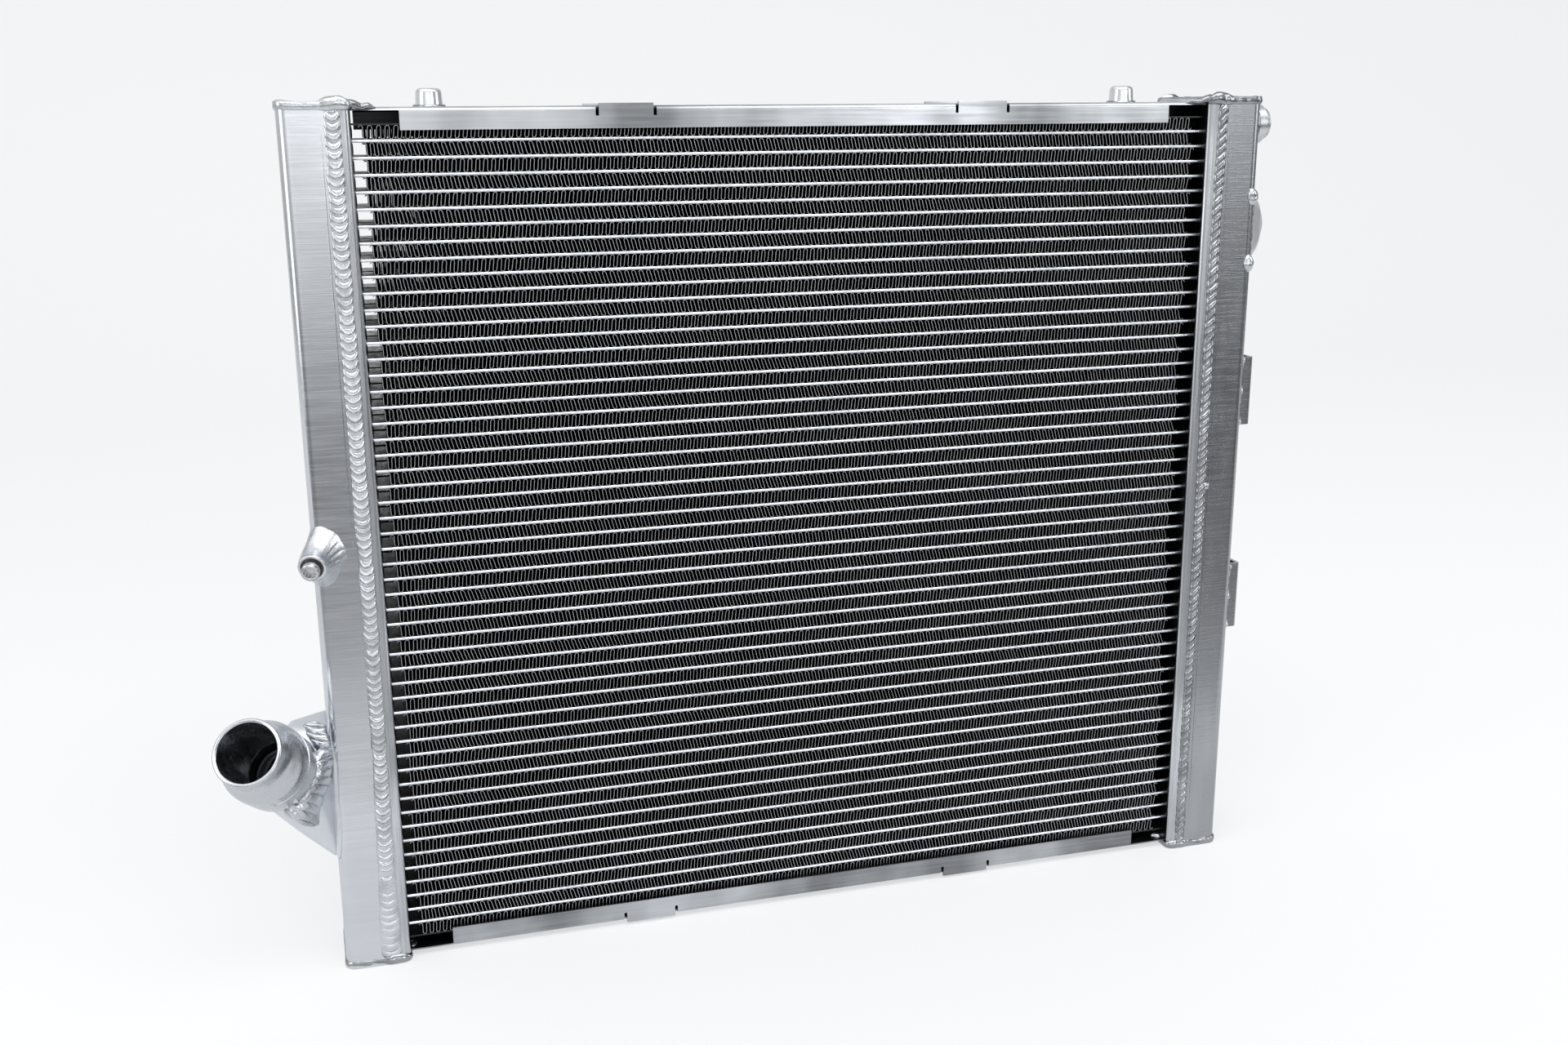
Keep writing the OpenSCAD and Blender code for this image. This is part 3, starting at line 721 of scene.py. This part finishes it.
def make_web_welds():
    """Welds on top of both webs where they meet the headers, the lower right one heaped up."""
    flange = 11.5 * MM
    for level, tag in ((WEB_TOP, "upper"), (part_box("lower_channel")[1].z - flange, "lower")):
        for side, name in SIDES:
            n = 120
            y = np.linspace(-FIN_Y + 1 * MM, FIN_Y - 1 * MM, n)
            x = side * (CORE_X - 1.6 * MM + wander(n, 30, 0.4 * MM, 301))
            path = points_at(x, y, level + 0.1 * MM)
            tall = 2.4 * MM if tag == "upper" else (2.8 + 1.2 * side) * MM
            wide = 3.6 * MM if tag == "upper" else (4.6 + 1.2 * side) * MM
            piece = bead(path, (-side, 0, 0), (0, 0, 1), wide, tall, 6 * MM, 302 + side,
                         curl=2.5 * MM, ripple=0.4, wobble=0.12, samples=13)
            add_weld(piece, name + "_" + tag + "_web_weld")
            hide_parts("channel_welds")


def make_web_runs():
    """Weld runs that leave the upper header corners and fade out along the web's front edge."""
    n = 90
    t = np.linspace(0, 1, n)
    ease = t * t * (3 - 2 * t)
    for side, name in SIDES:
        path = points_at(side * (CORE_X + (6 - 21 * t) * MM), -FACE_Y + (1.5 + 4.2 * ease) * MM,
                         CAP_LOW.z + (1.8 - 2.9 * ease) * MM + wander(n, 18, 0.3 * MM, 306))
        piece = bead(path, (0, 0.8, 0.6), (0, -0.6, 0.8), (3.0 - 1.4 * t) * MM, (2.4 - 0.9 * t) * MM,
                     6 * MM, 308 + side, curl=2 * MM, ripple=0.35, wobble=0.15, samples=13)
        add_weld(piece, name + "_web_run", WELD_DULL)


def make_pins():
    """Locating pins: a little taper, a well-rounded top and a small weld ring at the foot."""
    for node in ("left_mount_pin", "right_mount_pin"):
        low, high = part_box(node)
        foot = ((low.x + high.x) / 2, (low.y + high.y) / 2, low.z)
        tall = (high.z - low.z) / MM
        shape = [(8.4, 0), (8.3, 1.5), (7.95, tall - 4)] + bow((4.9, tall - 3), 3, 0, 82, 9) + [(1.5, tall)]
        pin = lathe(np.array(shape) * MM, foot, (0, 0, 1), steps=72, solid=True)
        add(pin, node + "_turned", POLISH, smooth=50.0)
        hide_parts(node)
        path = around(foot, (0, 0, 1), 8.8 * MM, 0.1 * MM, full_turn(120))
        out = unit(path - np.array(foot) * (1, 1, 0) - (0, 0, foot[2] + 0.1 * MM))
        ring = bead(path, out, (0, 0, 1), 1.3 * MM, 1.2 * MM, 3 * MM, 311, ripple=0.3, loop=True,
                    samples=9)
        add_weld(ring, node + "_foot_weld", WELD_DULL)


# ---------------------------------------------------------------- hose necks

def make_neck(name):
    """Turned hose neck: round lip, waist, smooth swell, groove and collar, with a weld nub and ring."""
    mouth, axis = neck_place(name + "_bore")
    swell = [(21.1 + 5.1 * (1 - math.cos(math.pi * t)) / 2, -(12 + 15 * t)) for t in np.linspace(0, 1, 12)]
    shape = [(BORE_R, -NECK_LONG), (25.6, -NECK_LONG), (25.9, -46), (26.2, -37), (26.2, -35.5),
             (25.0, GROOVE_LOW), (25.0, GROOVE_HIGH), (26.3, -33.6), (26.4, -31)]
    shape += [(r, h) for r, h in swell[::-1]]
    shape += [(20.9, -9), (20.8, -6)] + bow((19.85, -1.6), 1.45, -12, 180, 14)
    neck = lathe(np.array(shape) * MM, mouth, axis, steps=128)
    add(neck, name + "_neck_turned", NECK[name], smooth=38.0)
    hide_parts(name + "_neck")
    turn = math.radians(253)
    nub = dot(around(mouth, axis, 26 * MM, -34.3 * MM, turn), around((0, 0, 0), axis, 1.0, 0.0, turn),
              1.7 * MM, 1.4 * MM, 321)
    add_weld(nub, name + "_neck_nub")
    ring = neck_ring(mouth, axis)
    add_weld(ring, name + "_ring_weld")
    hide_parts(name + "_weld")


def neck_ring(mouth, axis):
    """Fillet weld behind a neck's collar, round the seat of its boss."""
    turn = full_turn(520)
    path = around(mouth, axis, 22 * MM, -(NECK_LONG + 0.6) * MM, turn)
    out = unit(around((0, 0, 0), axis, 1.0, 0.0, turn))
    return bead(path, -axis, out, 3.4 * MM, 3.2 * MM, 5.6 * MM, 322, curl=2 * MM, ripple=0.5,
                wobble=0.08, loop=True)


def make_boss(name):
    """Cast boss of a neck: the CAD shape with its hard edges blended away."""
    source = frame["nodes"][name + "_boss"]
    piece = bpy.data.objects.new("piece", source.data.copy())
    piece.matrix_world = source.matrix_world.copy()
    link(piece)
    remesh = piece.modifiers.new("remesh", "REMESH")
    remesh.mode = "VOXEL"
    remesh.voxel_size = 0.8 * MM
    smooth = piece.modifiers.new("smooth", "SMOOTH")
    smooth.factor = 0.5
    smooth.iterations = 14
    made = piece.evaluated_get(bpy.context.evaluated_depsgraph_get())
    blended = bpy.data.objects.new("piece", bpy.data.meshes.new_from_object(made))
    blended.matrix_world = source.matrix_world.copy()
    bpy.data.objects.remove(piece)
    blended.data.materials.clear()
    add(blended, name + "_boss_blended", CAST[name], smooth=180.0)
    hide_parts(name + "_boss")


def make_outlet_fan():
    """Broad fanned weld between the outlet neck's collar, its boss and the tank's front corner, a
    crumpled run on top of it and a smooth edge down the boss's front."""
    mouth, axis = neck_place("outlet_bore")
    n = 460
    s = np.linspace(0, 1, n)
    base = mouth - axis * NECK_LONG * MM
    low = np.clip((s - 0.5) / 0.5, 0, 1) ** 2
    off = 0.5 - 0.5 * np.cos(math.pi * np.clip((s - 0.2) / 0.7, 0, 1))
    inner = around(mouth, axis, (25.4 + 8 * low) * MM, np.full(n, -(NECK_LONG - 0.4) * MM),
                   np.radians(148 + 100 * s))
    outer = points_at(-TANK_X + (1 - 11 * off) * MM, -FACE_Y - (1.5 + 4 * off) * MM,
                      base[2] + (12 - 58 * s) * MM)
    lift = unit(np.cross(np.gradient((inner + outer) / 2, axis=0), outer - inner))
    lift *= np.sign(lift @ (-0.35, -0.9, 0.1))[:, None]
    reach = np.linalg.norm(outer - inner, axis=1) / 2 + (1.2 + wander(n, 24, 0.5, 332)) * MM
    fan = bead((inner + outer) / 2, unit(outer - inner), lift, reach, 3.2 * MM, 6.2 * MM, 333,
               curl=1.2 * MM, ripple=0.62, wobble=0.05, root=9 * MM, samples=25)
    add_weld(fan, "outlet_fan_weld")
    n = 120
    t = np.linspace(0, 1, n)
    path = points_at(-TANK_X - (9 - 6 * t) * MM + wander(n, 12, 0.6 * MM, 336),
                     -FACE_Y - 5.5 * MM * np.sin(1.7 * t), base[2] + (27 - 18 * t) * MM)
    top = bead(path, (0.95, -0.3, 0.1), (-0.2, -0.9, 0.4), (7.5 - 2.5 * t) * MM, 2.8 * MM, 5.2 * MM, 337,
               curl=-1.5 * MM, slant=2.4 * MM, ripple=0.45, wobble=0.1, root=5 * MM)
    add_weld(top, "outlet_fan_top")
    z = np.linspace(base[2] - 71 * MM, base[2] + 16 * MM, n)
    path = points_at(-TANK_X + 0.6 * MM + wander(n, 20, 0.3 * MM, 338), -FACE_Y + 2.6 * MM, z)
    edge = bead(path, (0.7, -0.7, 0), (-0.7, -0.7, 0), 4.2 * MM, 1.6 * MM, 30 * MM, 339, ripple=0.1,
                wobble=0.1, root=3 * MM)
    add_weld(edge, "outlet_boss_edge_weld", CAST["outlet"])


def make_inlet_spots():
    """Weld blobs where the inlet boss meets the right tank's front corner."""
    low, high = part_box("inlet_boss")
    for k, z in enumerate((high.z - 2 * MM, low.z + 2 * MM)):
        spot = dot((TANK_X - 3.4 * MM, -FACE_Y + 2.4 * MM, z), (0.6, -0.8, 0), 6 * MM, 4 * MM, 341 + k)
        add_weld(spot, "inlet_corner_weld_%d" % (k + 1))
    n = 90
    z = np.linspace(low.z + 4 * MM, high.z - 4 * MM, n)
    path = points_at(TANK_X - 0.4 * MM, -FACE_Y + 6.4 * MM, z)
    run = bead(path, (0.66, 0.75, 0), (0.75, -0.66, 0), 2.2 * MM, 1.6 * MM, 6 * MM, 345, curl=-1.5 * MM,
               ripple=0.5, wobble=0.15)
    add_weld(run, "inlet_edge_weld", WELD_DULL)


# ---------------------------------------------------------------- drain and bleed fittings

def corner_point(x, z):
    """Point on the left tank's skin that lies x along from the front face, round its front corner."""
    r = 7 * MM
    over = np.maximum(0, (-TANK_X + r) - x)
    a = np.minimum(over / r, math.pi / 2)
    past = np.maximum(0, over - r * math.pi / 2)
    px = np.where(over > 0, -TANK_X + r - r * np.sin(a), x)
    return points_at(px, -FACE_Y + r - r * np.cos(a) + past, z)


def make_drain_skirt():
    """Weld that flares from the drain boss to the tank, smooth on top and fluted towards the core."""
    joint = JOINTS["drain_turn"]
    face, axis = np.array(joint["pos_m"]), unit(joint["axis"])
    n = 300
    turn = full_turn(n)
    ring = around(face, axis, 8.9 * MM, -1.6 * MM, turn)
    reach = 13.5 + 4.5 * np.sin(turn) ** 3 + 2.0 * (np.cos(turn) < 0) * np.cos(turn) ** 2
    reach = (reach + wander(n, 16, 0.5, 351, loop=True)) * MM
    centre = face + axis * -14 * MM
    foot = corner_point(centre[0] + 2 * MM - reach * np.cos(turn),
                        centre[2] + 1.5 * MM + reach * np.sin(turn))
    foot[:, 1] += 0.4 * MM
    spoke = ring - face + axis * 1.6 * MM
    knee = ring - axis * 8.5 * MM + spoke * 0.12
    fluted = np.exp(-((turn - math.radians(190)) / math.radians(48)) ** 4)
    waves = np.abs(np.sin(turn * 9.5 + 0.4 * np.sin(3 * turn))) ** 0.7 - 0.6
    skins = []
    for t in np.linspace(0, 1, 16):
        p = (1 - t) ** 2 * ring + 2 * t * (1 - t) * knee + t * t * foot
        bump = (0.25 + 1.0 * fluted * waves) * math.sin(math.pi * min(1, t * 1.08)) ** 0.8
        skins.append(p + (unit(spoke) * 0.7 + axis * 0.7) * (bump * MM)[:, None])
    skins.append(around(face, axis, 8 * MM, -17 * MM, turn))
    skins.append(around(face, axis, 8 * MM, -1.6 * MM, turn))
    skirt = sweep(np.array(skins), ring_loop=True)
    add(skirt, "drain_skirt_weld", WELD, smooth=60.0)


def make_drain_ring():
    """Raised rim of the drain boss, rounded at its edge, with a flat inside for the seal."""
    joint = JOINTS["drain_turn"]
    shape = [(6.9, -5), (8.6, -5), (8.75, -1.2)] + bow((7.95, -0.4), 0.8, 0, 90, 6)
    shape += bow((7.3, -0.4), 0.8, 90, 170, 5)
    ring = lathe(np.array(shape) * MM, joint["pos_m"], joint["axis"], steps=96)
    add(ring, "drain_boss_rim", FITTING, smooth=50.0)


def socket_plug(name, joint, shank_r, shank, head_r, head_top, socket_r):
    """Threaded plug with a rounded head and a six-lobed wrench socket; sizes are in mm."""
    seal = 1.2
    floor = seal + 0.45 * (head_top - seal)
    deep = [(socket_r * 0.97, floor), (socket_r, floor + 0.1), (socket_r, head_top - 0.45)]
    rim = bow((socket_r + 0.45, head_top - 0.4), 0.4, 180, 90, 4)
    rim += bow((head_r - 1.1, head_top - 1.1), 1.1, 90, 0, 8)
    side = [(head_r, seal + 0.3), (head_r - 0.3, seal), (shank_r, seal), (shank_r, 0)]
    thread = [(shank_r - 0.05, -h) for h in np.arange(0.15, shank - 0.6, 0.15)]
    tip = [(shank_r - 0.6, -shank)]
    shape = np.array(deep + rim + side + thread + tip)
    in_socket = np.arange(len(shape)) < len(deep)
    in_thread = (shape[:, 1] < -0.1) & (shape[:, 1] > -shank + 0.1)

    def bulge(turn, level):
        key = 0.10 * socket_r * (np.cos(6 * turn) - 0.5) * in_socket
        fade = np.clip(np.minimum(-level / MM, shank + level / MM) / 1.0, 0, 1)
        ridge = np.abs(((level / MM / 1.5 - turn / (2 * math.pi)) % 1) * 2 - 1)
        return (key - 0.7 * ridge * in_thread * fade) * MM

    plug = lathe(shape * MM, joint["pos_m"], joint["axis"], steps=96, bulge=bulge, solid=True)
    add(plug, name + "_turned", PLUG, smooth=40.0, body=joint["child"])
    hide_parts(name)


def make_bleed_ring():
    """Weld round the foot of the bleed boss."""
    joint = JOINTS["bleed_turn"]
    foot = np.array(joint["pos_m"]) * (0, 1, 1) + (TANK_X, 0, 0)
    turn = full_turn(260)
    path = around(foot, joint["axis"], 14 * MM, 0.1 * MM, turn)
    out = around((0, 0, 0), joint["axis"], 1.0, 0.0, turn)
    ring = bead(path, out, (1, 0, 0), 1.6 * MM, 2.0 * MM, 4.5 * MM, 361, curl=1.5 * MM, ripple=0.45,
                loop=True, samples=11)
    add_weld(ring, "bleed_ring_weld", WELD_DULL)


# ---------------------------------------------------------------- side brackets

def make_bracket_welds():
    """Uneven weld along each bracket's front leg, with larger blobs at its ends and middle."""
    for k, node in enumerate(("upper_bracket", "lower_bracket")):
        low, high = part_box(node)
        n = 160
        z = np.linspace(low.z - 1.5 * MM, high.z + 1.5 * MM, n)
        t = np.linspace(-1, 1, n)
        blobs = np.exp(-(t / 0.13) ** 2) + np.exp(-((np.abs(t) - 0.88) / 0.13) ** 2)
        path = points_at(low.x + 0.3 * MM + wander(n, 14, 0.25 * MM, 371 + k), low.y + 0.1 * MM, z)
        run = bead(path, (0.94, 0.34, 0), (0.34, -0.94, 0), (1.5 + 1.3 * blobs) * MM,
                   (1.0 + 1.5 * blobs) * MM, 6 * MM, 373 + k, curl=-1.5 * MM, ripple=0.45, wobble=0.12)
        add_weld(run, node + "_leg_weld")
        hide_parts("bracket_welds")


# ---------------------------------------------------------------- CAD parts that stay

def finish_nodes():
    """Finished materials for the CAD parts whose shape is already right."""
    kinds = {
        LEFT_SHEET: ("left_tank", "left_top_cap", "left_bottom_cap"),
        RIGHT_SHEET: ("right_tank", "right_top_cap", "right_bottom_cap", "upper_bracket", "lower_bracket"),
        HEADER_SHEET: ("left_header", "right_header", "top_end_plate", "bottom_end_plate"),
        CHANNEL_SHEET: ("upper_channel", "lower_channel"),
        TUBE: ("core_tubes",),
        FITTING: ("drain_boss", "bleed_boss"),
        RUBBER: ("drain_seal", "bleed_seal"),
    }
    for material, names in kinds.items():
        for name in names:
            mesh = frame["nodes"][name].data
            mesh.materials.clear()
            mesh.materials.append(material)


# ---------------------------------------------------------------- stage

def make_stage():
    """Pale floor that curves up into a pale wall behind; its front part isn't mirrored in the metal."""
    reach, back, curve = 3.4, 3.2, 1.2
    line = [(-0.34, 0.0)]
    for a in np.radians(np.linspace(0, 90, 13)):
        line.append((back - curve + curve * math.sin(a), curve - curve * math.cos(a)))
    line.append((back, 6.0))
    verts = [(x, y, FLOOR_Z + z) for y, z in line for x in (-reach, reach)]
    faces = [(2 * i, 2 * i + 1, 2 * i + 3, 2 * i + 2) for i in range(len(line) - 1)]
    obj = mesh_object(verts, faces)
    obj.name = "stage_sweep"
    link(obj)
    paper = Surface("stage_paper", (0.30, 0.302, 0.306), 0.0, 0.9)
    paper.shader.inputs["Emission Color"].default_value = (0.985, 0.99, 1.0, 1)
    camera_ray = paper.node("ShaderNodeLightPath").outputs["Is Camera Ray"]
    paper.join(paper.ramp(camera_ray, 0, 1, 0.46, 0.6), paper.shader.inputs["Emission Strength"])
    obj.data.materials.append(paper.material)
    obj.data.shade_smooth()
    ahead = [(x, y, FLOOR_Z) for y in (-4.0, line[0][0]) for x in (-reach, reach)]
    front = mesh_object(ahead, [(0, 1, 3, 2)])
    front.name = "stage_front"
    link(front)
    front.visible_diffuse = front.visible_glossy = front.visible_shadow = False
    front.data.materials.append(paper.material)


def area_light(name, place, target, size, power):
    """Soft rectangular light at a place, turned towards its target."""
    data = bpy.data.lights.new(name, "AREA")
    data.shape = "RECTANGLE"
    data.size, data.size_y = size
    data.energy = power
    obj = bpy.data.objects.new(name, data)
    obj.location = place
    obj.rotation_euler = (Vector(target) - Vector(place)).to_track_quat("-Z", "Y").to_euler()
    link(obj)


def make_world():
    """Room light. The background is plain; what the metal mirrors is dim low down, with a soft bright
    band at eye level on the left, a brighter one on the right and a pale ceiling to the left."""
    world = bpy.data.worlds.new("studio")
    world.use_nodes = True
    tree = world.node_tree
    split = tree.nodes.new("ShaderNodeSeparateXYZ")
    tree.links.new(tree.nodes.new("ShaderNodeTexCoord").outputs["Generated"], split.inputs[0])

    def band(axis, *stops):
        """Grey level along one axis of the direction, from (position, level) stops."""
        made = tree.nodes.new("ShaderNodeMapRange")
        made.inputs["From Min"].default_value = -1
        ramp = tree.nodes.new("ShaderNodeValToRGB")
        ramp.color_ramp.interpolation = "EASE"
        while len(ramp.color_ramp.elements) < len(stops):
            ramp.color_ramp.elements.new(0.5)
        for element, (at, level) in zip(ramp.color_ramp.elements, stops):
            element.position = (at + 1) / 2
            element.color = (level, level, level, 1)
        tree.links.new(split.outputs[axis], made.inputs["Value"])
        tree.links.new(made.outputs["Result"], ramp.inputs["Fac"])
        return ramp.outputs["Color"]

    def blend(kind, a, b, factor=1.0):
        made = tree.nodes.new("ShaderNodeMix")
        made.data_type = "RGBA"
        made.blend_type = kind
        for socket, value in ((made.inputs["Factor"], factor), (made.inputs["A"], a), (made.inputs["B"], b)):
            if isinstance(value, (float, tuple)):
                socket.default_value = value
            else:
                tree.links.new(value, socket)
        return made.outputs["Result"]

    room = band("Z", (-0.5, 0.95), (-0.38, 0.8), (-0.26, 0.14), (-0.14, 0.1), (0.0, 0.3), (0.6, 0.4))
    eye_level = band("Z", (-0.26, 0), (-0.13, 0.25), (0, 1.5), (0.25, 1.2), (0.5, 0))
    left = band("X", (-0.7, 0.3), (-0.3, 0.9), (0.03, 1), (0.1, 0.25), (0.4, 0))
    glare = band("Z", (-0.03, 0), (0.01, 1), (0.2, 1), (0.45, 0))
    ahead = band("X", (0.1, 0), (0.25, 1.2), (0.4, 4), (0.46, 5), (0.51, 0.1))
    light = blend("ADD", room, blend("MULTIPLY", eye_level, left))
    light = blend("ADD", light, blend("MULTIPLY", glare, ahead))
    above = band("Z", (0.45, 0), (0.65, 1), (1.0, 1))
    beside = band("X", (-0.9, 0.9), (-0.3, 0.9), (0.1, 0.3), (0.6, 0.2))
    light = blend("ADD", light, blend("MULTIPLY", above, beside))
    backdrop = (0.92, 0.925, 0.935, 1.0)
    camera_ray = tree.nodes.new("ShaderNodeLightPath").outputs["Is Camera Ray"]
    tree.links.new(blend("MIX", light, backdrop, camera_ray), tree.nodes["Background"].inputs["Color"])
    bpy.context.scene.world = world


def make_lights():
    """Three weak soft lights: one high in front and one on each side."""
    middle = (0, 0, 0.27)
    area_light("top_soft", (0.1, -0.9, 2.1), middle, size=(2.6, 1.2), power=26)
    area_light("side_left", (-2.2, -0.7, 0.9), middle, size=(0.8, 1.6), power=10)
    area_light("side_right", (2.3, -0.9, 1.1), middle, size=(0.6, 1.4), power=8)


def make_camera():
    """Camera a metre in front, a little left of the middle and level with the radiator's top."""
    data = bpy.data.cameras.new("camera")
    data.sensor_width = 36
    data.lens = 36.4
    data.clip_start = 0.05
    obj = bpy.data.objects.new("camera", data)
    obj.location = (-0.3074, -1.0217, 0.5441)
    yaw, pitch, roll = math.radians(16.21), math.radians(-14.51), math.radians(-0.43)
    turn = Matrix.Rotation(-yaw, 4, "Z") @ Matrix.Rotation(math.pi / 2 + pitch, 4, "X")
    obj.rotation_euler = (turn @ Matrix.Rotation(roll, 4, "Z")).to_euler()
    link(obj)
    bpy.context.scene.camera = obj


make_camera()
make_fins()
make_header_ridges()
make_seams()
make_cap_beads()
make_web_welds()
make_web_runs()
make_pins()
make_neck("outlet")
make_neck("inlet")
make_boss("outlet")
make_boss("inlet")
make_outlet_fan()
make_inlet_spots()
make_drain_skirt()
make_drain_ring()
socket_plug("drain_plug", JOINTS["drain_turn"], shank_r=4.0, shank=12.0, head_r=5.7, head_top=6.7,
            socket_r=3.6)
socket_plug("bleed_plug", JOINTS["bleed_turn"], shank_r=8.0, shank=9.0, head_r=10.8, head_top=4.8,
            socket_r=4.4)
make_bleed_ring()
make_bracket_welds()
finish_nodes()
make_stage()
make_world()
make_lights()
bpy.context.scene.view_settings.view_transform = "Standard"
